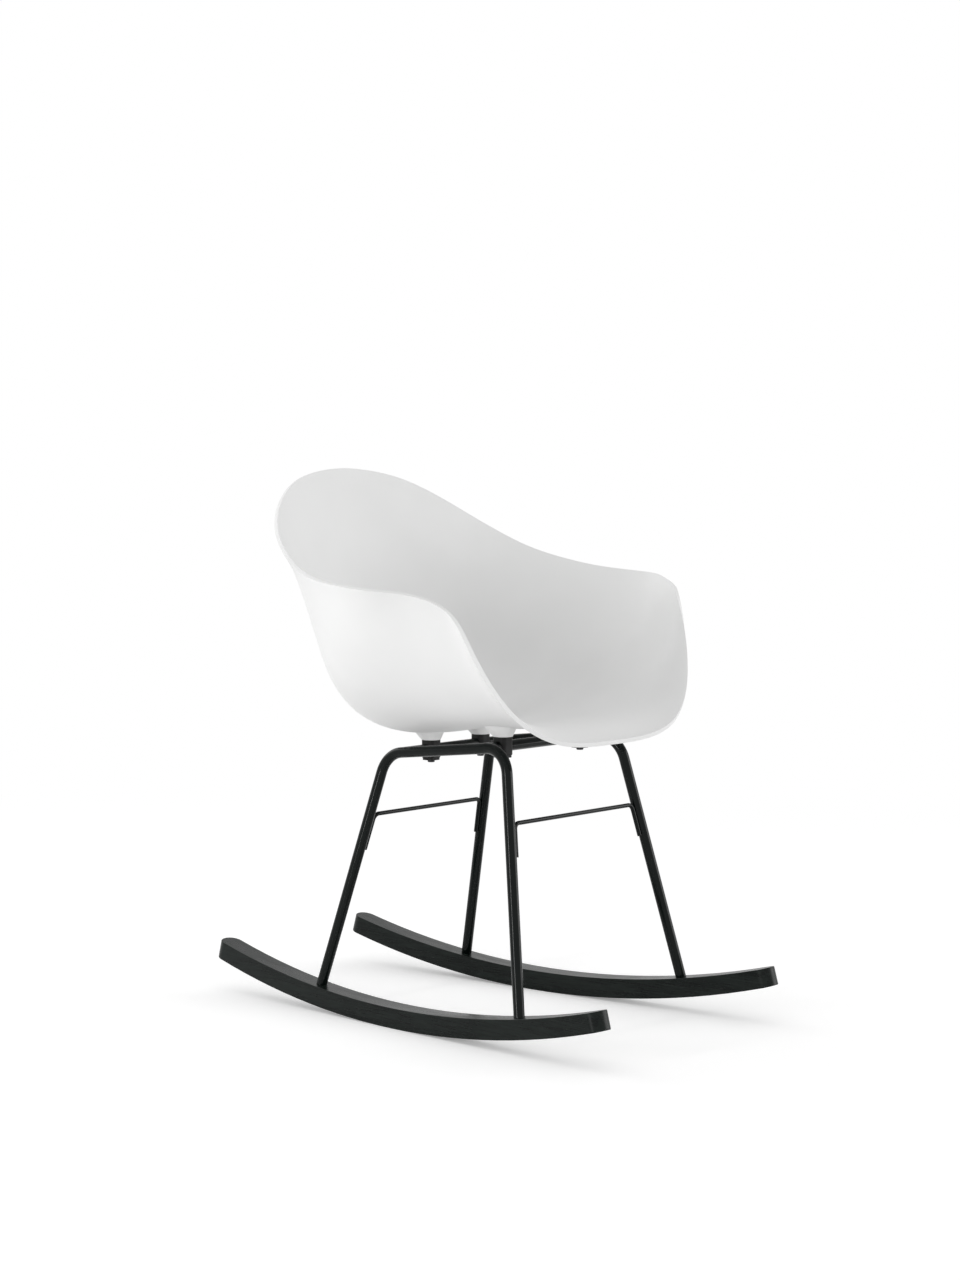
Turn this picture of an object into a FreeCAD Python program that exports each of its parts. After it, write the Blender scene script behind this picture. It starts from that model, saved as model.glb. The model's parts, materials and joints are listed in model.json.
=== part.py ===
import FreeCAD, Part
import math
import os

# Moulded plastic rocking chair: a one-piece bucket seat with arms, carried on two bent
# steel side frames, two cross tubes and two stretchers, on two curved wooden rockers.
# Millimetres. +Z is up, the sitter faces -Y and +X is on the sitter's left. The chair is
# mirrored about X = 0. All sizes here are measured from the line on which the rockers touch
# the floor. At the end the chair is moved so that the origin is on the floor under the
# middle of the rockers' length.

V = FreeCAD.Vector

# Rockers: curved bars with round ends, a little deeper in the middle than at the ends,
# toed out towards the front
rocker_radius = 1398.0
rocker_top_radius = 1436.0
rocker_height = 28.7
rocker_width = 33.8
rocker_front_angle = 16.14
rocker_rear_angle = 15.53
rocker_mid_spacing = 330.5
toe_angle = 3.56
rocker_end_round = 16.0
rocker_edge_round = 1.0

# Side frames: one bent tube each, in a plane that leans inwards over its rocker
tube_diameter = 15.0
tube_wall = 1.5
frame_lean = 8.6
frame_base_height = 40.8
frame_bend_radius = 40.0
# Feet: along the rocker from its contact with the floor
rear_foot_place = 155.0
front_foot_place = -232.3
# Shoulders: along the rocker, and down from the seat's fan line
rear_shoulder_place = 70.6
front_shoulder_place = -156.4
rear_shoulder_below_fan = 429.6
front_shoulder_below_fan = 404.4

# Cross tubes run from side frame to side frame under the seat
rear_cross_back = 36.8
front_cross_back = -121.8

# Seat brackets: rounded blocks threaded on the cross tubes, one under each seat boss
rear_bracket_half_spacing = 53.0
front_bracket_half_spacing = 83.5
bracket_width = 22.0
bracket_corner_round = 6.0
bracket_above_tube = 13.4
bracket_below_tube = 12.8
bracket_edge_round = 2.5
plate_width = 18.5
plate_corner_round = 3.0
plate_thickness = 2.5

# Stretchers: a thin rod between two legs, its ends bent down along the legs
stretcher_diameter = 6.0
stretcher_bend_radius = 9.0
rear_stretcher_below_shoulder = 86.5
front_stretcher_below_shoulder = 98.5
rear_stretcher_end_drop = 50.7
front_stretcher_end_drop = 44.0

# Screws into the seat, and the threaded inserts moulded into its bosses
seat_screw_radius = 3.0
screw_clearance = 0.2
seat_screw_head_radius = 5.0
seat_screw_head_height = 3.2
hex_socket_radius = 2.3
hex_socket_depth = 1.8
hex_sides = 6
insert_radius = 4.5
insert_length = 10.0

# Screws up through the rockers into plugs welded in the legs' ends
plug_length = 24.0
rocker_screw_radius = 3.0
rocker_screw_reach = 16.0
rocker_screw_head_radius = 5.0
rocker_screw_head_height = 5.0
rocker_washer_radius = 5.8
rocker_washer_thickness = 1.2
counterbore_radius = 6.0
counterbore_seat_depth = 19.5

# Bucket seat. Its middle surface is described in a fan of planes that all hold one line
# along X, well above the seat. Each station of the fan gives its angle back from straight
# down, the reach from the fan's line down to the seat, and the half width of the section.
fan_line_back = -150.0
fan_line_height = 800.0
shell_thickness = 5.5
section_depth = 363.9
seat_stations = (
    (-16.0, 412.9, 280.5),
    (-13.5, 413.0, 264.3),
    (-9.0, 396.8, 253.1),
    (-1.0, 384.3, 272.1),
    (8.0, 390.8, 293.4),
    (18.0, 412.2, 318.3),
    (30.0, 461.9, 321.5),
    (40.0, 458.7, 323.8),
    (52.0, 434.7, 348.1),
    (65.0, 413.3, 394.8),
    (78.0, 403.2, 468.7),
    (88.0, 412.0, 509.0),
)
# How square the section is at each fan angle: 2 is an ellipse, more is a boxier tub
squareness_stations = ((-16.0, 3.21), (-5.0, 2.87), (15.0, 2.67), (45.0, 1.95), (88.0, 1.96))
# How far up its section the untrimmed sheet goes at each fan angle
sheet_depth_stations = ((-16.0, 170.0), (-9.0, 225.0), (10.0, 250.0), (28.0, 285.0),
                        (45.0, 265.0), (62.0, 190.0), (78.0, 110.0), (88.0, 75.0))
fan_steps = 44
section_steps = 30
fine_steps = 12 * section_steps

# Rim of the seat seen from the side, from the front lip to the top of the back: how far
# each point is behind the fan's line, and how far below it
rim_outline = ((-95.4, 401.6), (-94.8, 393.6), (-89.3, 378.8), (-77.0, 349.6),
               (-60.0, 307.7), (-42.6, 263.0), (-20.5, 219.2), (14.2, 197.9),
               (56.2, 190.7), (104.0, 186.0), (156.0, 181.0), (201.2, 173.2),
               (248.9, 159.2), (290.0, 139.9), (326.1, 115.8), (354.3, 91.0),
               (378.2, 65.6), (394.1, 48.0), (407.0, 35.0))
rim_samples = 90
rim_loop_stride = 3
# The arms and the sides of the back flare outwards below the rim. The flare starts and ends
# at these depths below the fan's line, and is full between the inner two.
flare_reach = 32.0
flare_size = 5.0
flare_end = 40.0
flare_full_high = 100.0
flare_full_low = 280.0
flare_start = 370.0

# Bosses under the seat: a round foot that widens upwards, more towards the back
boss_foot_radius = 13.5
boss_side_slope = 34.0
boss_back_slope = 16.0
boss_loft_height = 34.0

# Lengths closer than this are taken as equal
same = 0.01

tube_radius = tube_diameter / 2.0
stretcher_radius = stretcher_diameter / 2.0
toe = math.radians(toe_angle)
lean = math.radians(frame_lean)
left_and_right = (("left", 1), ("right", -1))

# How far the line of contact with the floor is behind the middle of the rockers' length
front_sine = math.sin(math.radians(rocker_front_angle))
rear_sine = math.sin(math.radians(rocker_rear_angle))
contact_back = rocker_radius * math.cos(toe) * (front_sine - rear_sine) / 2.0


def frame_rise(height):
    """How far up the leaning frame a height above the floor is."""
    return (height - frame_base_height) / math.cos(lean)


def rocker_top(place):
    """Height of a rocker's top face, this far along it from its contact with the floor."""
    drop = math.sqrt(rocker_top_radius ** 2 - place ** 2)
    return rocker_height + rocker_top_radius - drop


# Each end of a side frame's legs: along the rocker, and up the frame's slope from its base
rear_foot = (rear_foot_place, frame_rise(rocker_top(rear_foot_place)))
front_foot = (front_foot_place, frame_rise(rocker_top(front_foot_place)))
rear_shoulder = (rear_shoulder_place, frame_rise(fan_line_height - rear_shoulder_below_fan))
front_shoulder = (front_shoulder_place, frame_rise(fan_line_height - front_shoulder_below_fan))


def spline_through(stations):
    """A smooth function of one value through the stations, each a pair of place and value."""
    places = [station[0] for station in stations]
    values = [station[1] for station in stations]
    count = len(places)
    gaps = [places[i + 1] - places[i] for i in range(count - 1)]
    slopes = [(values[i + 1] - values[i]) / gaps[i] for i in range(count - 1)]
    # Second derivatives of the natural cubic spline, by elimination down and back up
    pivot = [1.0] * count
    bend = [0.0] * count
    for i in range(1, count - 1):
        below = gaps[i - 1] / pivot[i - 1] if i > 1 else 0.0
        pivot[i] = 2.0 * (gaps[i - 1] + gaps[i]) - below * gaps[i - 1]
        bend[i] = 6.0 * (slopes[i] - slopes[i - 1]) - below * bend[i - 1]
    for i in range(count - 2, 0, -1):
        bend[i] = (bend[i] - gaps[i] * bend[i + 1]) / pivot[i]
    bend[0] = 0.0

    def value_at(place):
        i = 0
        while i < count - 2 and place > places[i + 1]:
            i += 1
        step = place - places[i]
        first = slopes[i] - gaps[i] * (2.0 * bend[i] + bend[i + 1]) / 6.0
        cubic = (bend[i + 1] - bend[i]) / (6.0 * gaps[i])
        return values[i] + step * (first + step * (bend[i] / 2.0 + step * cubic))

    return value_at


seat_reach = spline_through([(s[0], s[1]) for s in seat_stations])
half_width = spline_through([(s[0], s[2]) for s in seat_stations])
squareness = spline_through(squareness_stations)
sheet_depth = spline_through(sheet_depth_stations)


def smooth_step(value, low, high):
    """0 below low, 1 above high, and an even slope between them."""
    return min(1.0, max(0.0, (value - low) / (high - low)))


def section_width(angle, depth):
    """Half width of the seat's middle surface at a fan angle, this far above its floor."""
    power = squareness(angle)
    rest = 1.0 - abs(1.0 - min(depth, section_depth) / section_depth) ** power
    return half_width(angle) * rest ** (1.0 / power)


def fan_point(angle, depth, width):
    reach = seat_reach(angle) - depth
    turn = math.radians(angle)
    back = fan_line_back + reach * math.sin(turn)
    return V(width, back, fan_line_height - reach * math.cos(turn))


def rim_curve_from_side():
    """The rim's side outline as a curve in the plane X = 0."""
    points = [V(0, fan_line_back + back, fan_line_height - down) for back, down in rim_outline]
    curve = Part.BSplineCurve()
    curve.interpolate(Points=points)
    return curve


def rim_points():
    """The rim's left half on the unflared middle surface, with each point's fan angle and
    depth, from the front lip to the top of the back."""
    curve = rim_curve_from_side()
    found = []
    for i in range(rim_samples + 1):
        # Samples crowd towards both ends, where the rim turns across the chair
        share = (1.0 - math.cos(math.pi * i / rim_samples)) / 2.0
        place = curve.FirstParameter + share * (curve.LastParameter - curve.FirstParameter)
        side = curve.value(place)
        down = fan_line_height - side.z
        back = side.y - fan_line_back
        angle = math.degrees(math.atan2(back, down))
        depth = max(0.0, seat_reach(angle) - math.hypot(back, down))
        found.append((V(section_width(angle, depth), side.y, side.z), angle, depth))
    return found


rim = rim_points()


def flare_at_height(height):
    down = fan_line_height - height
    high_part = smooth_step(down, flare_end, flare_full_high)
    low_part = 1.0 - smooth_step(down, flare_full_low, flare_start)
    return flare_size * high_part * low_part


def rim_depth(angle):
    """Depth of the rim at a fan angle: nothing in front of the lip or above the back."""
    for (_, low, low_depth), (_, high, high_depth) in zip(rim, rim[1:]):
        if low <= angle <= high and high > low:
            return low_depth + (high_depth - low_depth) * (angle - low) / (high - low)
    return 0.0


def flare(point, angle, depth):
    """How far the wall stands out at a point: most at the rim, nothing a hand's width below."""
    apart = min(point.distanceToPoint(place) for place, _, _ in rim)
    if depth > rim_depth(angle):
        share = 1.0 + 2.0 * apart / flare_reach
    else:
        share = max(0.0, 1.0 - apart / flare_reach) ** 2
    return flare_at_height(point.z) * share


def section_points(angle):
    """Points along half a section, evenly spaced, from the middle of the seat outwards."""
    top_depth = sheet_depth(angle)
    power = squareness(angle)
    top_turn = math.acos((1.0 - top_depth / section_depth) ** (power / 2.0))
    fine = []
    for i in range(fine_steps + 1):
        turn = top_turn * i / fine_steps
        depth = section_depth * (1.0 - math.cos(turn) ** (2.0 / power))
        fine.append((section_width(angle, depth), depth))
    along = [0.0]
    for (x0, d0), (x1, d1) in zip(fine, fine[1:]):
        along.append(along[-1] + math.hypot(x1 - x0, d1 - d0))
    points = []
    k = 0
    for i in range(section_steps + 1):
        goal = along[-1] * i / section_steps
        while k < fine_steps - 1 and along[k + 1] < goal:
            k += 1
        part = (goal - along[k]) / (along[k + 1] - along[k])
        width = fine[k][0] + part * (fine[k + 1][0] - fine[k][0])
        depth = fine[k][1] + part * (fine[k + 1][1] - fine[k][1])
        point = fan_point(angle, depth, width)
        point.x += flare(point, angle, depth) if i > 0 else 0.0
        points.append(point)
    return points


def sheet_grid():
    """The seat's middle surface as rows of points, from right to left in each fan plane."""
    first = seat_stations[0][0]
    last = seat_stations[-1][0]
    rows = []
    for i in range(fan_steps + 1):
        half = section_points(first + (last - first) * i / fan_steps)
        mirrored = [V(-p.x, p.y, p.z) for p in reversed(half[1:])]
        rows.append(mirrored + half)
    return rows


def offset_grid(rows, distance):
    """The same grid moved along its normals, away from the sitter where distance is positive."""
    moved = []
    last_row = len(rows) - 1
    last_column = len(rows[0]) - 1
    for i, row in enumerate(rows):
        line = []
        for j, point in enumerate(row):
            along = rows[min(i + 1, last_row)][j] - rows[max(i - 1, 0)][j]
            across = row[min(j + 1, last_column)] - row[max(j - 1, 0)]
            normal = across.cross(along)
            normal.normalize()
            line.append(point - normal * distance)
        moved.append(line)
    return moved


def sheet_surface(rows):
    surface = Part.BSplineSurface()
    surface.interpolate(rows)
    return surface


def rim_loop(middle):
    """The rim all the way round, each point with the middle surface's normal there."""
    left = []
    for point, _, _ in rim[::rim_loop_stride]:
        left.append(V(point.x + flare_at_height(point.z), point.y, point.z))
    left[0].x = 0.0
    left[-1].x = 0.0
    right = [V(-p.x, p.y, p.z) for p in reversed(left[1:-1])]
    return [(p, middle.normal(*middle.parameter(p))) for p in left + right]


def places_on(surface, loop, distance):
    """The rim on a surface that lies this far off along the normals, in the surface's u, v."""
    return [surface.parameter(point + normal * distance) for point, normal in loop]


def trimmed_face(surface, places):
    """The part of a surface inside a closed line through the places."""
    border = Part.Geom2d.BSplineCurve2d()
    border.interpolate(Points=[FreeCAD.Base.Vector2d(u, v) for u, v in places],
                       PeriodicFlag=True)
    face = Part.Face(surface, Part.Wire([border.toShape(surface)]))
    face.validate()
    return face


def bare_shell(rows):
    """The seat's sheet of even thickness, its edge square to its faces all round the rim."""
    half = shell_thickness / 2.0
    loop = rim_loop(sheet_surface(rows))
    faces = []
    for distance in (half, -half):
        surface = sheet_surface(offset_grid(rows, distance))
        faces.append(trimmed_face(surface, places_on(surface, loop, distance)))
    edge = Part.makeRuledSurface(faces[0].Edges[0], faces[1].Edges[0])
    skin = Part.makeShell(faces + [edge])
    skin.sewShape()
    return Part.Solid(skin)


def turned_to_side(shape, side):
    """Mirror a left-hand shape to the right where side is -1."""
    return shape if side > 0 else shape.mirror(V(0, 0, 0), V(1, 0, 0))


def frame_point(along, up):
    """A place in the left side frame's plane: along it towards the back, and up its slope."""
    origin = V(rocker_mid_spacing / 2.0, 0, frame_base_height)
    back = V(-math.sin(toe), math.cos(toe), 0)
    rise = V(-math.cos(toe) * math.sin(lean), -math.sin(toe) * math.sin(lean), math.cos(lean))
    return origin + back * along + rise * up


def rounded_path(points, radius):
    """Straight runs through the points, joined by tangent arcs of one radius."""
    edges = []
    start = points[0]
    for before, corner, after in zip(points, points[1:], points[2:]):
        coming = (corner - before).normalize()
        going = (after - corner).normalize()
        half_turn = coming.getAngle(going) / 2.0
        run = radius * math.tan(half_turn)
        entry = corner - coming * run
        leave = corner + going * run
        inward = (going - coming).normalize()
        middle = corner + inward * (radius / math.cos(half_turn) - radius)
        edges.append(Part.LineSegment(start, entry).toShape())
        edges.append(Part.Arc(entry, middle, leave).toShape())
        start = leave
    edges.append(Part.LineSegment(start, points[-1]).toShape())
    return Part.Wire(edges)


def swept_rod(path, radius):
    first = path.OrderedEdges[0]
    start = first.valueAt(first.FirstParameter)
    direction = first.tangentAt(first.FirstParameter)
    ring = Part.Wire(Part.makeCircle(radius, start, direction))
    return path.makePipeShell([ring], True, True)


def rod_along(start, end, radius):
    direction = end - start
    return Part.makeCylinder(radius, direction.Length, start, direction)


def legs():
    """Each left leg as its name, foot and shoulder, in the side frame's plane."""
    return (("rear", rear_foot, rear_shoulder), ("front", front_foot, front_shoulder))


def leg_axis(foot, shoulder):
    """The foot of a left leg on the rocker, and the direction down along the leg."""
    place = frame_point(*foot)
    down = (place - frame_point(*shoulder)).normalize()
    return place, down


def rocker_blank():
    """The left rocker before drilling. Its ends are square to its curved underside."""
    above = rocker_height + rocker_top_radius - rocker_radius

    def under_point(angle):
        turn = math.radians(angle)
        return V(0, rocker_radius * math.sin(turn), rocker_radius * (1.0 - math.cos(turn)))

    def over_point(angle):
        turn = math.radians(angle)
        aside = above * math.sin(turn)
        reach = math.sqrt(rocker_top_radius ** 2 - aside ** 2) - above * math.cos(turn)
        return V(0, reach * math.sin(turn), rocker_radius - reach * math.cos(turn))

    front = -rocker_front_angle
    rear = rocker_rear_angle
    under = Part.Arc(under_point(front), V(0, 0, 0), under_point(rear)).toShape()
    over = Part.Arc(over_point(front), V(0, 0, rocker_height), over_point(rear)).toShape()
    ends = [Part.LineSegment(over_point(angle), under_point(angle)).toShape()
            for angle in (front, rear)]
    face = Part.Face(Part.Wire(Part.__sortEdges__([under, over] + ends)))
    bar = face.extrude(V(rocker_width, 0, 0))
    upright = [e for e in bar.Edges
               if e.BoundBox.XLength < same and e.Length < 2.0 * rocker_height]
    bar = bar.makeFillet(rocker_end_round, upright)
    long_edges = [e for e in bar.Edges if e.Length > rocker_radius * math.radians(rear)]
    bar = bar.makeFillet(rocker_edge_round, long_edges)
    bar.translate(V(-rocker_width / 2.0, 0, 0))
    bar.rotate(V(0, 0, 0), V(0, 0, 1), toe_angle)
    bar.translate(V(rocker_mid_spacing / 2.0, 0, 0))
    return bar


def frame_outline():
    """The left side frame's centre line, run on into the rocker at both feet."""
    rear_place, rear_down = leg_axis(rear_foot, rear_shoulder)
    front_place, front_down = leg_axis(front_foot, front_shoulder)
    extra = tube_radius + rocker_edge_round
    points = [rear_place + rear_down * extra, frame_point(*rear_shoulder),
              frame_point(*front_shoulder), front_place + front_down * extra]
    return rounded_path(points, frame_bend_radius)


def shoulder_line(back):
    """The left side frame's centre line between its shoulders, at a place along the chair."""
    rear = frame_point(*rear_shoulder)
    front = frame_point(*front_shoulder)
    share = (back - rear.y) / (front.y - rear.y)
    return rear + (front - rear) * share


def cross_places():
    """Each cross tube as its name, its left end on the side frame and its bracket's offset."""
    rear = shoulder_line(rear_cross_back)
    front = shoulder_line(front_cross_back)
    return (("rear", rear, rear_bracket_half_spacing),
            ("front", front, front_bracket_half_spacing))


def bracket_axes():
    """Every seat bracket: its name, and its middle on the cross tube's centre line."""
    found = []
    for end, place, offset in cross_places():
        for side_name, side in left_and_right:
            found.append((end + "_" + side_name, V(side * offset, place.y, place.z)))
    return found


def rounded_block(middle, width, low, high, corner_round):
    half = width / 2.0
    block = Part.makeBox(width, width, high - low, V(middle.x - half, middle.y - half, low))
    upright = [e for e in block.Edges if abs(e.Length - (high - low)) < same]
    return block.makeFillet(corner_round, upright)


def bottom_edges(shape, level):
    return [e for e in shape.Edges if abs(e.BoundBox.ZMax - level) < same]


def screw_hole(middle, low, length, radius):
    return Part.makeCylinder(radius, length, V(middle.x, middle.y, low))


def boss(middle):
    """A seat boss, from the bracket's top up through the seat's floor."""
    foot = middle + V(0, 0, bracket_above_tube)
    shift = boss_loft_height * math.tan(math.radians(boss_back_slope))
    root = foot + V(0, shift, boss_loft_height)
    grow = boss_loft_height * math.tan(math.radians(boss_side_slope))
    lower = Part.Wire(Part.makeCircle(boss_foot_radius, foot))
    upper = Part.Wire(Part.makeCircle(boss_foot_radius + grow, root))
    return Part.makeLoft([lower, upper], True)


def seat_shell():
    rows = sheet_grid()
    shell = bare_shell(rows)
    under = sheet_surface(rows).toShape().extrude(V(0, 0, -boss_loft_height * 2.0))
    bosses = []
    holes = []
    for _, middle in bracket_axes():
        bosses.append(boss(middle).common(under))
        low = middle.z + bracket_above_tube
        holes.append(screw_hole(middle, low, insert_length, insert_radius))
    shell = shell.multiFuse(bosses)
    for hole in holes:
        shell = shell.cut(hole)
    return shell.removeSplitter()


def boss_inserts():
    parts = []
    for _, middle in bracket_axes():
        low = middle.z + bracket_above_tube
        sleeve = screw_hole(middle, low, insert_length, insert_radius)
        parts.append(sleeve.cut(screw_hole(middle, low, insert_length, seat_screw_radius)))
    return Part.makeCompound(parts)


def seat_bracket(middle):
    low = middle.z - bracket_below_tube
    high = middle.z + bracket_above_tube
    block = rounded_block(middle, bracket_width, low, high, bracket_corner_round)
    block = block.makeFillet(bracket_edge_round, bottom_edges(block, low))
    half = V(bracket_width, 0, 0)
    block = block.cut(rod_along(middle - half, middle + half, tube_radius))
    hole_radius = seat_screw_radius + screw_clearance
    return block.cut(screw_hole(middle, low, high - low, hole_radius))


def seat_plates():
    parts = []
    for _, middle in bracket_axes():
        high = middle.z - bracket_below_tube
        plate = rounded_block(middle, plate_width, high - plate_thickness, high,
                              plate_corner_round)
        hole = screw_hole(middle, high - plate_thickness, plate_thickness,
                          seat_screw_radius + screw_clearance)
        parts.append(plate.cut(hole))
    return Part.makeCompound(parts)


def hex_prism(centre, radius, depth, direction):
    corners = []
    for i in range(hex_sides + 1):
        turn = 2.0 * math.pi * i / hex_sides
        corners.append(V(radius * math.cos(turn), radius * math.sin(turn), 0))
    prism = Part.Face(Part.makePolygon(corners)).extrude(V(0, 0, depth))
    prism.Placement = FreeCAD.Placement(centre, FreeCAD.Rotation(V(0, 0, 1), direction))
    return prism


def socket_screw(seat, up, radius, length, head_radius, head_height):
    """A screw whose head's inner face is at seat, with its shank going up."""
    down = up * -1.0
    shank = Part.makeCylinder(radius, length, seat, up)
    head = Part.makeCylinder(head_radius, head_height, seat, down)
    outer = [e for e in head.Edges
             if e.Closed and e.CenterOfMass.distanceToPoint(seat + down * head_height) < same]
    head = head.makeFillet(head_height / 3.0, outer)
    socket = hex_prism(seat + down * head_height, hex_socket_radius, hex_socket_depth, up)
    return shank.fuse(head).removeSplitter().cut(socket)


def seat_screws():
    parts = []
    for _, middle in bracket_axes():
        seat = middle - V(0, 0, bracket_below_tube + plate_thickness)
        length = plate_thickness + bracket_below_tube + bracket_above_tube + insert_length
        parts.append(socket_screw(seat, V(0, 0, 1), seat_screw_radius, length,
                                  seat_screw_head_radius, seat_screw_head_height))
    return Part.makeCompound(parts)


def side_frame(side):
    path = frame_outline()
    tube = swept_rod(path, tube_radius).cut(swept_rod(path, tube_radius - tube_wall))
    return turned_to_side(tube.cut(rocker_blank()), side)


def cross_tube(place):
    """A cross tube coped to the side frames and drilled for the seat screws."""
    other = V(-place.x, place.y, place.z)
    tube = rod_along(other, place, tube_radius)
    bore = rod_along(other, place, tube_radius - tube_wall)
    outside = swept_rod(frame_outline(), tube_radius)
    tube = tube.cut(bore).cut(outside).cut(turned_to_side(outside, -1))
    return tube


def drilled(tube, end):
    for name, middle in bracket_axes():
        if name.startswith(end):
            low = middle.z - tube_diameter
            tube = tube.cut(screw_hole(middle, low, 2.0 * tube_diameter,
                                       seat_screw_radius + screw_clearance))
    return tube


def stretcher(foot, shoulder, below_shoulder, end_drop):
    """A rod against the inner sides of two legs and across between them."""
    low = frame_point(*foot)
    high = frame_point(*shoulder)
    level = high.z - below_shoulder

    def beside_leg(height):
        place = low + (high - low) * ((height - low.z) / (high.z - low.z))
        direction = (high - low).normalize()
        inward = V(-1, 0, 0) + direction * direction.x
        return place + inward.normalize() * (tube_radius + stretcher_radius)

    left = [beside_leg(level - end_drop), beside_leg(level)]
    right = [V(-p.x, p.y, p.z) for p in reversed(left)]
    return swept_rod(rounded_path(left + right, stretcher_bend_radius), stretcher_radius)


def rocker(side):
    bar = rocker_blank()
    for _, foot, shoulder in legs():
        place, down = leg_axis(foot, shoulder)
        top = place - down * rocker_height
        hole = Part.makeCylinder(rocker_screw_radius + screw_clearance, 3.0 * rocker_height,
                                 top, down)
        recess = Part.makeCylinder(counterbore_radius, rocker_height,
                                   place + down * counterbore_seat_depth, down)
        bar = bar.cut(hole).cut(recess)
    return turned_to_side(bar, side)


def on_each_foot(make):
    """One solid for each of the four feet: the left pair, and its mirror images."""
    parts = []
    for _, side in left_and_right:
        for _, foot, shoulder in legs():
            place, down = leg_axis(foot, shoulder)
            parts.append(turned_to_side(make(place, down), side))
    return Part.makeCompound(parts)


def leg_plug(place, down):
    radius = tube_radius - tube_wall
    low = place + down * (tube_radius + rocker_edge_round)
    plug = rod_along(low, place - down * plug_length, radius)
    bore = rod_along(low, place - down * rocker_screw_reach, rocker_screw_radius)
    return plug.cut(bore).cut(rocker_blank())


def rocker_washer(place, down):
    seat = place + down * counterbore_seat_depth
    ring = Part.makeCylinder(rocker_washer_radius, rocker_washer_thickness, seat, down)
    return ring.cut(Part.makeCylinder(rocker_screw_radius + screw_clearance,
                                      rocker_washer_thickness, seat, down))


def rocker_screw(place, down):
    seat = place + down * (counterbore_seat_depth + rocker_washer_thickness)
    length = counterbore_seat_depth + rocker_washer_thickness + rocker_screw_reach
    return socket_screw(seat, down * -1.0, rocker_screw_radius, length,
                        rocker_screw_head_radius, rocker_screw_head_height)


def all_parts():
    parts = {}
    parts["seat_shell"] = seat_shell()
    parts["boss_inserts"] = boss_inserts()
    for side_name, side in left_and_right:
        parts["side_frame_" + side_name] = side_frame(side)
        parts["rocker_" + side_name] = rocker(side)
    for end, place, _ in cross_places():
        parts[end + "_cross_tube"] = drilled(cross_tube(place), end)
    for name, middle in bracket_axes():
        parts["seat_bracket_" + name] = seat_bracket(middle)
    parts["bracket_plates"] = seat_plates()
    parts["seat_screws"] = seat_screws()
    parts["rear_stretcher"] = stretcher(rear_foot, rear_shoulder,
                                        rear_stretcher_below_shoulder,
                                        rear_stretcher_end_drop)
    parts["front_stretcher"] = stretcher(front_foot, front_shoulder,
                                         front_stretcher_below_shoulder,
                                         front_stretcher_end_drop)
    parts["leg_plugs"] = on_each_foot(leg_plug)
    parts["rocker_washers"] = on_each_foot(rocker_washer)
    parts["rocker_screws"] = on_each_foot(rocker_screw)
    return parts


os.makedirs("parts", exist_ok=True)
for node_name, node_shape in all_parts().items():
    node_shape.translate(V(0, contact_back, 0))
    node_shape.exportStep("parts/" + node_name + ".step")
    box = node_shape.BoundBox
    print(node_name, "solids", len(node_shape.Solids), "valid", node_shape.isValid(),
          "volume", round(node_shape.Volume), "box",
          [round(v, 1) for v in (box.XMin, box.XMax, box.YMin, box.YMax, box.ZMin, box.ZMax)])
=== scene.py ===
import json
import math

import bmesh
import bpy
import numpy as np
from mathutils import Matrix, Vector
from mathutils.bvhtree import BVHTree


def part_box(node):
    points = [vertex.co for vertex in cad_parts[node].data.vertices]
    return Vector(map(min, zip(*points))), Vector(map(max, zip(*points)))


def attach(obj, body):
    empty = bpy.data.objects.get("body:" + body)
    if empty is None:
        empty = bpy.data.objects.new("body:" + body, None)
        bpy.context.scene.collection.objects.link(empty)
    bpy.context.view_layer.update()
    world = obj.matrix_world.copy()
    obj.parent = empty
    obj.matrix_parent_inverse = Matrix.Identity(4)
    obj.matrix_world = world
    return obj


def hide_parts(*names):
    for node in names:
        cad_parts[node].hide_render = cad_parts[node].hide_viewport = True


# Moulded plastic rocking chair, dressed around its CAD model. Metres, in the CAD frame: +Z is
# up, the sitter faces -Y, and the origin is on the floor under the middle of the rockers.

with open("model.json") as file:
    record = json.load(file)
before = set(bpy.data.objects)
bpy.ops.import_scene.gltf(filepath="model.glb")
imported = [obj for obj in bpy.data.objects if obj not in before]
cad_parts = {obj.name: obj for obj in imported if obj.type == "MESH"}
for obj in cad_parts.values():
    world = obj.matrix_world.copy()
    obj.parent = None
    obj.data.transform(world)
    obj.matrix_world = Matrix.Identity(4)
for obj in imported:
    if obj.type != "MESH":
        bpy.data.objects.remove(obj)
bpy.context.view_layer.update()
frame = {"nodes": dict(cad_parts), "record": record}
mm = 0.001

# The seat's own form, as the CAD source gives it. Its middle surface is described in a fan of
# planes through one line along X. Each station gives its angle back from straight down, the
# reach from the line down to the seat, and the half width of the section.
rocker_contact_back = 7.15 * mm
fan_line_back = -150.0 * mm + rocker_contact_back
fan_line_height = 800.0 * mm
shell_thickness = 5.5 * mm
section_depth = 363.9 * mm
seat_stations = (
    (-16.0, 412.9, 280.5),
    (-13.5, 413.0, 264.3),
    (-9.0, 396.8, 253.1),
    (-1.0, 384.3, 272.1),
    (8.0, 390.8, 293.4),
    (18.0, 412.2, 318.3),
    (30.0, 461.9, 321.5),
    (40.0, 458.7, 323.8),
    (52.0, 434.7, 348.1),
    (65.0, 413.3, 394.8),
    (78.0, 403.2, 468.7),
    (88.0, 412.0, 509.0),
)
squareness_stations = ((-16.0, 3.21), (-5.0, 2.87), (15.0, 2.67), (45.0, 1.95), (88.0, 1.96))
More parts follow.
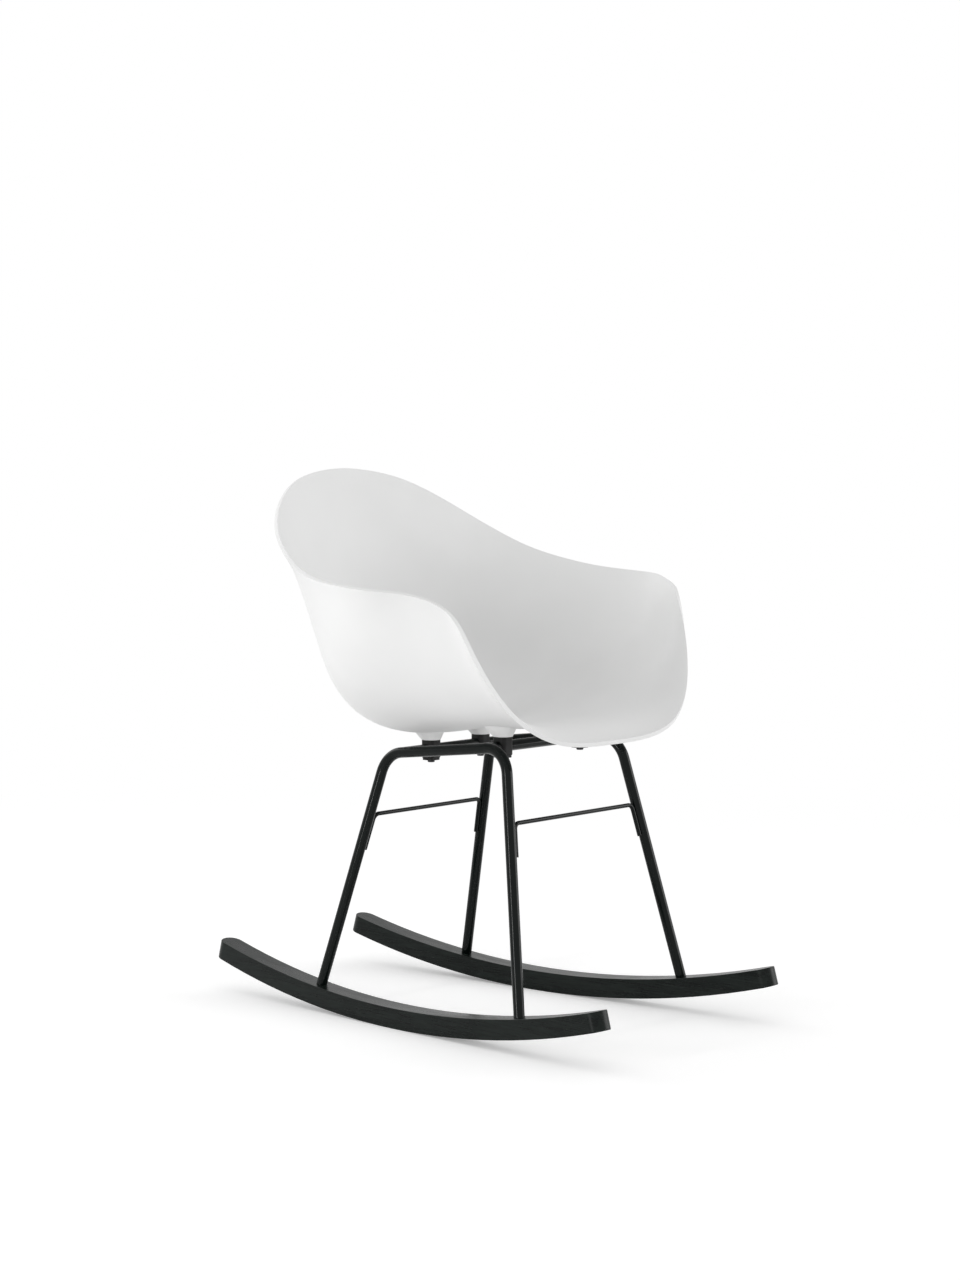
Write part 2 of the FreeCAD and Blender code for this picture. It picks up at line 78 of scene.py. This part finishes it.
# The rim from the side: how far each point is behind the fan's line, and how far below it
rim_outline = ((-95.4, 401.6), (-94.8, 393.6), (-89.3, 378.8), (-77.0, 349.6),
               (-60.0, 307.7), (-42.6, 263.0), (-20.5, 219.2), (14.2, 197.9),
               (56.2, 190.7), (104.0, 186.0), (156.0, 181.0), (201.2, 173.2),
               (248.9, 159.2), (290.0, 139.9), (326.1, 115.8), (354.3, 91.0),
               (378.2, 65.6), (394.1, 48.0), (407.0, 35.0))
flare_reach = 32.0 * mm
flare_size = 5.0 * mm
flare_end = 40.0 * mm
flare_full_high = 100.0 * mm
flare_full_low = 280.0 * mm
flare_start = 370.0 * mm
# Where the sheet of quads has its corners, counted along the outline's points: on the front of
# the arms and on the shoulders of the back
arm_corner = 6.6
back_corner = 15.3
quads_along = 120
quads_across = 96
rim_round = 1.7 * mm
rim_segments = 4
sharp_from = math.radians(50.0)
# How finely curves are stepped where lengths and distances along them are measured
border_steps = 400
flare_steps = 900
section_steps = 240

# Bosses under the seat, one on each bracket
boss_foot_radius = 13.5 * mm
boss_side_slope = math.radians(34.0)
boss_back_slope = math.radians(16.0)
boss_height = 34.0 * mm
boss_sides = 96
boss_smooth_below = math.radians(40.0)
insert_radius = 4.5 * mm
insert_length = 10.0 * mm

# Camera, fitted to the photograph
camera_target = Vector((4.2, 2.6, 301.0)) * mm
camera_distance = 3573.6 * mm
camera_azimuth = math.radians(-49.0)
camera_elevation = math.radians(7.4)
camera_lens = 70.92
camera_shift_up = 0.124

# Studio
white = (1.0, 1.0, 1.0, 1.0)
floor_size = 60.0
floor_white = 0.90
# To the camera the floor also glows: a little beside the chair, so that shadows still show, and
# from near to far more and more, until it is as white as the backdrop
floor_glow = 0.24
floor_near = 0.7
floor_far = 2.6
backdrop_white = 1.0
lamps_aim_height = 0.45
fill_strength = 0.716


def natural_spline(stations):
    """A smooth function of one value through the stations, each a pair of place and value."""
    places = np.array([station[0] for station in stations])
    values = np.array([station[1] for station in stations])
    gaps = np.diff(places)
    slopes = np.diff(values) / gaps
    count = len(places)
    matrix = np.eye(count)
    turns = np.zeros(count)
    for i in range(1, count - 1):
        matrix[i, i - 1:i + 2] = gaps[i - 1], 2.0 * (gaps[i - 1] + gaps[i]), gaps[i]
        turns[i] = 6.0 * (slopes[i] - slopes[i - 1])
    bend = np.linalg.solve(matrix, turns)

    def value_at(place):
        i = np.clip(np.searchsorted(places, place) - 1, 0, count - 2)
        step = place - places[i]
        first = slopes[i] - gaps[i] * (2.0 * bend[i] + bend[i + 1]) / 6.0
        cubic = (bend[i + 1] - bend[i]) / (6.0 * gaps[i])
        return values[i] + step * (first + step * (bend[i] / 2.0 + step * cubic))

    return value_at


seat_reach = natural_spline([(s[0], s[1] * mm) for s in seat_stations])
half_width = natural_spline([(s[0], s[2] * mm) for s in seat_stations])
squareness = natural_spline(squareness_stations)


def share_between(value, low, high):
    """0 below low, 1 above high, and in proportion between."""
    return np.clip((value - low) / (high - low), 0.0, 1.0)


def section_width(angle, depth):
    """Half width of the seat at a fan angle, this far above its floor."""
    power = squareness(angle)
    rest = 1.0 - np.abs(1.0 - np.minimum(depth, section_depth) / section_depth) ** power
    return half_width(angle) * rest ** (1.0 / power)


def fan_points(angle, depth, width):
    """Points in space from fan angle, height above the seat's floor, and distance from the
    middle plane."""
    reach = seat_reach(angle) - depth
    turn = np.radians(angle)
    back = fan_line_back + reach * np.sin(turn)
    return np.stack([width, back, fan_line_height - reach * np.cos(turn)], axis=-1)


def rim_places(at):
    """Fan angle and depth of the rim at these places along its outline's points."""
    points = np.array(rim_outline) * mm
    back = natural_spline(list(enumerate(points[:, 0])))(at)
    down = natural_spline(list(enumerate(points[:, 1])))(at)
    angle = np.degrees(np.arctan2(back, down))
    depth = np.maximum(seat_reach(angle) - np.hypot(back, down), 0.0)
    return angle, depth


def rim_line(at):
    """The rim's places, their points in space, and the distance run along it so far."""
    angle, depth = rim_places(at)
    points = fan_points(angle, depth, section_width(angle, depth))
    run = np.concatenate([[0.0], np.cumsum(np.linalg.norm(np.diff(points, axis=0), axis=1))])
    return angle, depth, points, run


def section_table(angle):
    """Distance along the half section from the middle of the seat, with width and depth."""
    power = squareness(angle)[..., None]
    # Finer steps near the middle, where the width grows fastest
    turn = np.linspace(0.0, 1.0, section_steps) ** 1.5 * math.pi / 2.0
    depth = section_depth * (1.0 - np.cos(turn) ** (2.0 / power))
    width = half_width(angle)[..., None] * np.sin(turn) ** (2.0 / power)
    run = np.cumsum(np.hypot(np.diff(width), np.diff(depth)), axis=-1)
    run = np.concatenate([np.zeros(run.shape[:-1] + (1,)), run], axis=-1)
    return run, width, depth


def run_at_depth(angle, depth):
    """How far along its half section each place is."""
    run, _, table_depth = section_table(angle)
    return np.array([np.interp(d, table_depth[i], run[i]) for i, d in enumerate(depth)])


def points_on_sections(angle, distance):
    """Points in space this far along the half sections at these fan angles."""
    run, width, depth = section_table(angle)
    rows = range(len(angle))
    widths = np.array([np.interp(distance[i], run[i], width[i]) for i in rows])
    depths = np.array([np.interp(distance[i], run[i], depth[i]) for i in rows])
    return fan_points(angle, depths, widths)


def border(start, end, count):
    """Even steps along the rim between two places of its outline: fan angle and run."""
    at = np.linspace(start, end, border_steps)
    angle, depth, _, run = rim_line(at)
    steps = np.interp(np.linspace(0.0, run[-1], count), run, at)
    angle, depth = rim_places(steps)
    return np.stack([angle, run_at_depth(angle, depth)], axis=-1)


def flared(points):
    """The arms and the sides of the back stand outwards near the rim."""
    _, _, rim, _ = rim_line(np.linspace(0.0, len(rim_outline) - 1.0, flare_steps))
    apart = np.array([np.linalg.norm(rim - point, axis=1).min() for point in points])
    down = fan_line_height - points[:, 2]
    high_part = share_between(down, flare_end, flare_full_high)
    low_part = 1.0 - share_between(down, flare_full_low, flare_start)
    share = np.clip(1.0 - apart / flare_reach, 0.0, 1.0) ** 2
    points[:, 0] += flare_size * high_part * low_part * share * np.sign(points[:, 0])
    return points


def seat_sheet_points():
    """Points of the left half of the seat's middle surface: quads_along + 1 rows from the
    front to the back, each with quads_across / 2 + 1 points from the middle to the rim."""
    across = quads_across // 2 + 1
    along = quads_along + 1
    last = len(rim_outline) - 1.0
    side = border(arm_corner, back_corner, along)
    front = border(0.0, arm_corner, across)
    back = border(last, back_corner, across)
    u = np.linspace(0.0, 1.0, along)
    middle = np.stack([np.interp(u, [0.0, 1.0], [front[0, 0], back[0, 0]]),
                       np.zeros(along)], axis=-1)
    # A Coons patch between these four borders, in fan angle and run
    u = u[:, None, None]
    v = np.linspace(0.0, 1.0, across)[None, :, None]
    corners = ((1 - u) * ((1 - v) * front[0] + v * front[-1])
               + u * ((1 - v) * back[0] + v * back[-1]))
    patch = ((1 - v) * middle[:, None] + v * side[:, None]
             + (1 - u) * front[None] + u * back[None] - corners)
    flat = patch.reshape(-1, 2)
    points = points_on_sections(flat[:, 0], np.maximum(flat[:, 1], 0.0))
    return flared(points).reshape(along, across, 3)


def deselect_all():
    if bpy.context.object and bpy.context.object.mode != "OBJECT":
        bpy.ops.object.mode_set(mode="OBJECT")
    bpy.ops.object.select_all(action="DESELECT")


def only(piece):
    deselect_all()
    piece.select_set(True)
    bpy.context.view_layer.objects.active = piece


def apply_place(piece):
    only(piece)
    bpy.ops.object.transform_apply(location=True, rotation=True, scale=True)


def finish_modifiers(piece):
    only(piece)
    for modifier in list(piece.modifiers):
        bpy.ops.object.modifier_apply(modifier=modifier.name)


def dress(piece, name, slot, materials):
    """Names a finished piece and gives it its body and the material for its slot."""
    piece.name = name
    piece.data.name = name
    piece.data.materials.clear()
    piece.data.materials.append(materials[slot])
    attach(piece, "root")
    return piece


def seat_skin():
    """The seat's sheet, from a grid that is bent onto the seat's form."""
    deselect_all()
    bpy.ops.mesh.primitive_grid_add(x_subdivisions=quads_along, y_subdivisions=quads_across,
                                    size=1.0)
    sheet = bpy.context.object
    half = seat_sheet_points()
    middle_column = quads_across // 2
    for vertex in sheet.data.vertices:
        row = round((vertex.co.x + 0.5) * quads_along)
        column = round((vertex.co.y + 0.5) * quads_across) - middle_column
        x, y, z = half[row, abs(column)]
        vertex.co = (math.copysign(x, column) if column else 0.0, y, z)
    return sheet


def thick_seat(sheet):
    """Gives the sheet its thickness and a rounded rim."""
    only(sheet)
    wall = sheet.modifiers.new("wall", "SOLIDIFY")
    wall.thickness = shell_thickness
    wall.offset = 0.0
    wall.use_even_offset = True
    edge = sheet.modifiers.new("rim", "BEVEL")
    edge.width = rim_round
    edge.segments = rim_segments
    edge.limit_method = "ANGLE"
    edge.angle_limit = sharp_from
    finish_modifiers(sheet)
    bpy.ops.object.mode_set(mode="EDIT")
    bpy.ops.mesh.select_all(action="SELECT")
    bpy.ops.mesh.normals_make_consistent(inside=False)
    bpy.ops.object.mode_set(mode="OBJECT")
    bpy.ops.object.shade_smooth()
    return sheet


def boss_feet():
    """The middle of each boss's foot: on its bracket's top, over its insert."""
    feet = []
    for end in ("rear", "front"):
        for side in ("left", "right"):
            low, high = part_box("seat_bracket_" + end + "_" + side)
            feet.append((end + "_" + side, Vector(((low.x + high.x) / 2.0,
                                                   (low.y + high.y) / 2.0, high.z))))
    return feet


def seat_boss(foot, surface):
    """A cone that widens upwards into the seat's wall, with the hole for its insert."""
    deselect_all()
    grow = boss_height * math.tan(boss_side_slope)
    shift = boss_height * math.tan(boss_back_slope)
    middle = foot + Vector((0.0, 0.0, boss_height / 2.0))
    bpy.ops.mesh.primitive_cone_add(vertices=boss_sides, radius1=boss_foot_radius,
                                    radius2=boss_foot_radius + grow, depth=boss_height,
                                    location=middle)
    boss = bpy.context.object
    apply_place(boss)
    bpy.ops.object.mode_set(mode="EDIT")
    mesh = bmesh.from_edit_mesh(boss.data)
    cap = max(mesh.faces, key=lambda face: face.calc_center_median().z)
    for vertex in cap.verts:
        # Each side line of the cone runs back with the boss and ends inside the seat's wall
        start = Vector((vertex.co.x - foot.x, vertex.co.y - foot.y, 0.0))
        start = foot + start * (boss_foot_radius / (boss_foot_radius + grow))
        end = vertex.co + Vector((0.0, shift, 0.0))
        hit = surface.ray_cast(start, (end - start).normalized())[0]
        vertex.co = hit if hit else end
    for face in mesh.faces:
        face.select = False
    bottom = min(mesh.faces, key=lambda face: face.calc_center_median().z)
    bottom.select = True
    bmesh.update_edit_mesh(boss.data)
    bpy.ops.mesh.select_mode(type="FACE")
    bpy.ops.mesh.inset(thickness=boss_foot_radius - insert_radius, depth=0.0)
    bpy.ops.mesh.extrude_region_move(
        TRANSFORM_OT_translate={"value": (0.0, 0.0, insert_length)})
    bpy.ops.object.mode_set(mode="OBJECT")
    bpy.ops.object.shade_smooth_by_angle(angle=boss_smooth_below)
    return boss


class Wire:
    """A socket in a material's nodes, on which arithmetic adds Math nodes."""

    def __init__(self, tree, socket):
        self.tree = tree
        self.socket = socket

    def node(self, kind, settings, inputs, output=0):
        """Adds a node, sets it up, feeds its sockets, and gives one of its outputs."""
        added = self.tree.nodes.new(kind)
        for name, value in settings.items():
            if name == "stops":
                ramp = added.color_ramp.elements
                while len(ramp) < len(value):
                    ramp.new(0.5)
                for element, (place, colour) in zip(ramp, value):
                    element.position = place
                    element.color = (*colour, 1.0)
            else:
                setattr(added, name, value)
        for name, value in inputs.items():
            if isinstance(value, Wire):
                self.tree.links.new(value.socket, added.inputs[name])
            else:
                added.inputs[name].default_value = value
        return Wire(self.tree, added.outputs[output]) if added.outputs else None

    def maths(self, operation, first, second):
        return self.node("ShaderNodeMath", {"operation": operation}, {0: first, 1: second})

    def __add__(self, other):
        return self.maths("ADD", self, other)

    def __radd__(self, other):
        return self.maths("ADD", other, self)

    def __rmul__(self, other):
        return self.maths("MULTIPLY", other, self)

    def maximum(self, other):
        return self.maths("MAXIMUM", self, other)

    def stretched(self, sizes):
        """These coordinates, scaled by how many features there are to a metre each way."""
        return self.node("ShaderNodeMapping", {}, {"Vector": self, "Scale": sizes})

    def noise(self, scale, detail=3.0, roughness=0.5):
        """Fractal noise between 0 and 1 at these coordinates."""
        return self.node("ShaderNodeTexNoise", {}, {"Vector": self, "Scale": scale,
                                                    "Detail": detail, "Roughness": roughness})

    def colours(self, low, high):
        """A blend from one colour to another as this value goes from 0 to 1."""
        return self.node("ShaderNodeMix", {"data_type": "RGBA"},
                         {0: self, 6: (*low, 1.0), 7: (*high, 1.0)}, output=2)

    def between(self, low, high):
        """0 below low, 1 above high, and smooth between."""
        return self.node("ShaderNodeMapRange", {"interpolation_type": "SMOOTHSTEP"},
                         {"Value": self, "From Min": low, "From Max": high})

    def length(self):
        """Distance of these coordinates from their origin."""
        return self.node("ShaderNodeVectorMath", {"operation": "LENGTH"}, {0: self}, output=1)

    def bump(self, strength, distance):
        return self.node("ShaderNodeBump", {}, {"Height": self, "Strength": strength,
                                                "Distance": distance})


def new_material(name):
    """An empty material, and the Object coordinates on its piece."""
    material = bpy.data.materials.new(name)
    material.use_nodes = True
    tree = material.node_tree
    tree.nodes.clear()
    start = tree.nodes.new("ShaderNodeTexCoord")
    return material, Wire(tree, start.outputs["Object"])


def surface_of(material, place, inputs):
    """Ends a material with one Principled shader."""
    shader = place.node("ShaderNodeBsdfPrincipled", {}, inputs)
    place.node("ShaderNodeOutputMaterial", {}, {"Surface": shader})
    return material


def white_moulded_plastic():
    """Matte white seat plastic: a very fine moulded grain and faint cloudy variation."""
    material, place = new_material("white_moulded_plastic")
    cloud = place.noise(7.0, 2.0)
    grain = place.noise(1400.0, 2.0)
    waves = place.noise(28.0, 2.0)
    colour = cloud.between(0.3, 0.7).colours((0.800, 0.802, 0.798), (0.832, 0.833, 0.830))
    rough = 0.50 + 0.08 * waves + 0.05 * grain
    return surface_of(material, place, {
        "Base Color": colour, "Roughness": rough, "Specular IOR Level": 0.45,
        "Normal": grain.bump(0.10, 0.06 * mm)})


def black_powder_coat():
    """Satin black paint on the tubes, with a fine orange peel."""
    material, place = new_material("black_powder_coat")
    peel = place.noise(900.0, 2.0)
    patch = place.noise(35.0, 2.0)
    colour = patch.colours((0.0012, 0.0028, 0.0024), (0.0028, 0.0048, 0.0042))
    rough = 0.12 + 0.04 * patch + 0.03 * peel
    return surface_of(material, place, {
        "Base Color": colour, "Roughness": rough, "Specular IOR Level": 0.15,
        "Normal": peel.bump(0.12, 0.05 * mm)})


def black_stained_wood():
    """Black stain on the rockers: grain runs along them under a satin lacquer."""
    material, place = new_material("black_stained_wood")
    drift = place.noise(9.0, 2.0)
    fibres = place.stretched((420.0, 9.0, 420.0)).noise(1.0, 4.0, 0.6)
    bands = place.stretched((95.0, 2.5, 95.0)).noise(1.0, 2.0)
    grain = (0.55 * fibres + 0.35 * bands + 0.10 * drift).between(0.36, 0.66)
    colour = grain.colours((0.0018, 0.0034, 0.0028), (0.0078, 0.0115, 0.0098))
    rough = 0.24 + 0.14 * grain
    return surface_of(material, place, {
        "Base Color": colour, "Roughness": rough, "Specular IOR Level": 0.15,
        "Normal": fibres.bump(0.25, 0.12 * mm)})


def black_moulded_plastic():
    """The seat brackets' black plastic, a little duller than the paint."""
    material, place = new_material("black_moulded_plastic")
    grain = place.noise(1600.0, 2.0)
    patch = place.noise(60.0, 2.0)
    colour = patch.colours((0.005, 0.005, 0.005), (0.009, 0.009, 0.009))
    return surface_of(material, place, {
        "Base Color": colour, "Roughness": 0.46 + 0.12 * grain, "Specular IOR Level": 0.25,
        "Normal": grain.bump(0.15, 0.06 * mm)})


def coated_steel(name, low, high, rough):
    """Small steel pieces: screws and plates with a thin coat that is worn unevenly."""
    material, place = new_material(name)
    patch = place.noise(260.0, 3.0)
    marks = place.stretched((600.0, 600.0, 3000.0)).noise(1.0, 2.0)
    return surface_of(material, place, {
        "Base Color": patch.colours(low, high), "Metallic": 0.85,
        "Roughness": rough + 0.15 * patch, "Normal": marks.bump(0.10, 0.04 * mm)})


materials = {
    "seat_plastic": white_moulded_plastic(),
    "frame_paint": black_powder_coat(),
    "rocker_wood": black_stained_wood(),
    "bracket_plastic": black_moulded_plastic(),
    "plate_steel": coated_steel("black_coated_plate", (0.016, 0.016, 0.016),
                                (0.030, 0.030, 0.030), 0.42),
    "screw_steel": coated_steel("black_oxide_screw", (0.024, 0.024, 0.026),
                                (0.055, 0.055, 0.058), 0.34),
    "plug_steel": coated_steel("turned_steel", (0.42, 0.42, 0.43), (0.52, 0.52, 0.53), 0.30),
    "insert_brass": coated_steel("turned_brass", (0.60, 0.44, 0.20), (0.74, 0.56, 0.28), 0.28),
}

for subpart in frame["record"]["subparts"]:
    node = frame["nodes"][subpart["node"]]
    for material_slot in node.material_slots:
        material_slot.material = materials[subpart["material_slot"]]

sheet = seat_skin()
sheet_mesh = bmesh.new()
sheet_mesh.from_mesh(sheet.data)
middle_surface = BVHTree.FromBMesh(sheet_mesh)
sheet_mesh.free()
seat = dress(thick_seat(sheet), "seat_skin", "seat_plastic", materials)
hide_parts("seat_shell")
for boss_name, boss_foot in boss_feet():
    dress(seat_boss(boss_foot, middle_surface), "seat_boss_" + boss_name, "seat_plastic",
          materials)


def seen_directly(tree):
    """1 for rays from the camera and for those that a shiny or clear surface sends on."""
    rays = tree.nodes.new("ShaderNodeLightPath")
    kinds = ("Is Camera Ray", "Is Glossy Ray", "Is Transmission Ray")
    camera, glossy, passed = [Wire(tree, rays.outputs[kind]) for kind in kinds]
    return camera.maximum(glossy).maximum(passed)


def white_floor():
    """A plain white floor that keeps the chair's soft shadow and never goes grey far off."""
    deselect_all()
    bpy.ops.mesh.primitive_plane_add(size=floor_size)
    floor = bpy.context.object
    floor.name = "floor"
    material, place = new_material("white_floor")
    lit = place.node("ShaderNodeBsdfDiffuse", {}, {"Color": (floor_white,) * 3 + (1.0,)})
    glow = place.node("ShaderNodeEmission", {}, {"Color": white, "Strength": floor_glow})
    near = place.node("ShaderNodeAddShader", {}, {0: lit, 1: glow})
    far = place.node("ShaderNodeEmission", {}, {"Color": white, "Strength": backdrop_white})
    far_off = place.length().between(floor_near, floor_far)
    seen = place.node("ShaderNodeMixShader", {}, {0: far_off, 1: near, 2: far})
    surface = place.node("ShaderNodeMixShader", {},
                         {0: seen_directly(place.tree), 1: lit, 2: seen})
    place.node("ShaderNodeOutputMaterial", {}, {"Surface": surface})
    floor.data.materials.append(material)


def studio_world():
    """White to the camera and to reflections, and a soft even fill on the chair."""
    world = bpy.data.worlds.new("studio")
    bpy.context.scene.world = world
    world.use_nodes = True
    tree = world.node_tree
    tree.nodes.clear()
    seen = seen_directly(tree)
    light = seen.node("ShaderNodeBackground", {}, {
        "Color": white,
        "Strength": fill_strength + (backdrop_white - fill_strength) * seen})
    light.node("ShaderNodeOutputWorld", {}, {"Surface": light})


def soft_lamp(name, place, size, power):
    """A rectangular area lamp that points at the chair."""
    deselect_all()
    bpy.ops.object.light_add(type="AREA", location=place)
    lamp = bpy.context.object
    lamp.name = name
    lamp.data.shape = "RECTANGLE"
    lamp.data.size, lamp.data.size_y = size
    lamp.data.energy = power
    aim = Vector((0.0, 0.0, lamps_aim_height)) - Vector(place)
    lamp.rotation_euler = aim.to_track_quat("-Z", "Y").to_euler()


def photo_camera():
    """The camera as it was fitted to the photograph."""
    back = Vector((math.sin(camera_azimuth) * math.cos(camera_elevation),
                   -math.cos(camera_azimuth) * math.cos(camera_elevation),
                   math.sin(camera_elevation)))
    bpy.ops.object.camera_add(location=camera_target + back * camera_distance)
    camera = bpy.context.object
    camera.rotation_euler = back.to_track_quat("Z", "Y").to_euler()
    camera.data.lens = camera_lens
    camera.data.shift_y = camera_shift_up
    bpy.context.scene.camera = camera


white_floor()
studio_world()
soft_lamp("key_on_sitters_right", (-3.2, 0.2, 0.75), (0.3, 1.5), 31.0)
soft_lamp("low_in_front", (2.3, -2.3, 0.9), (1.8, 1.4), 28.0)
soft_lamp("behind", (-0.2, 3.0, 2.2), (2.0, 2.0), 16.0)
photo_camera()
bpy.context.scene.view_settings.view_transform = "Standard"
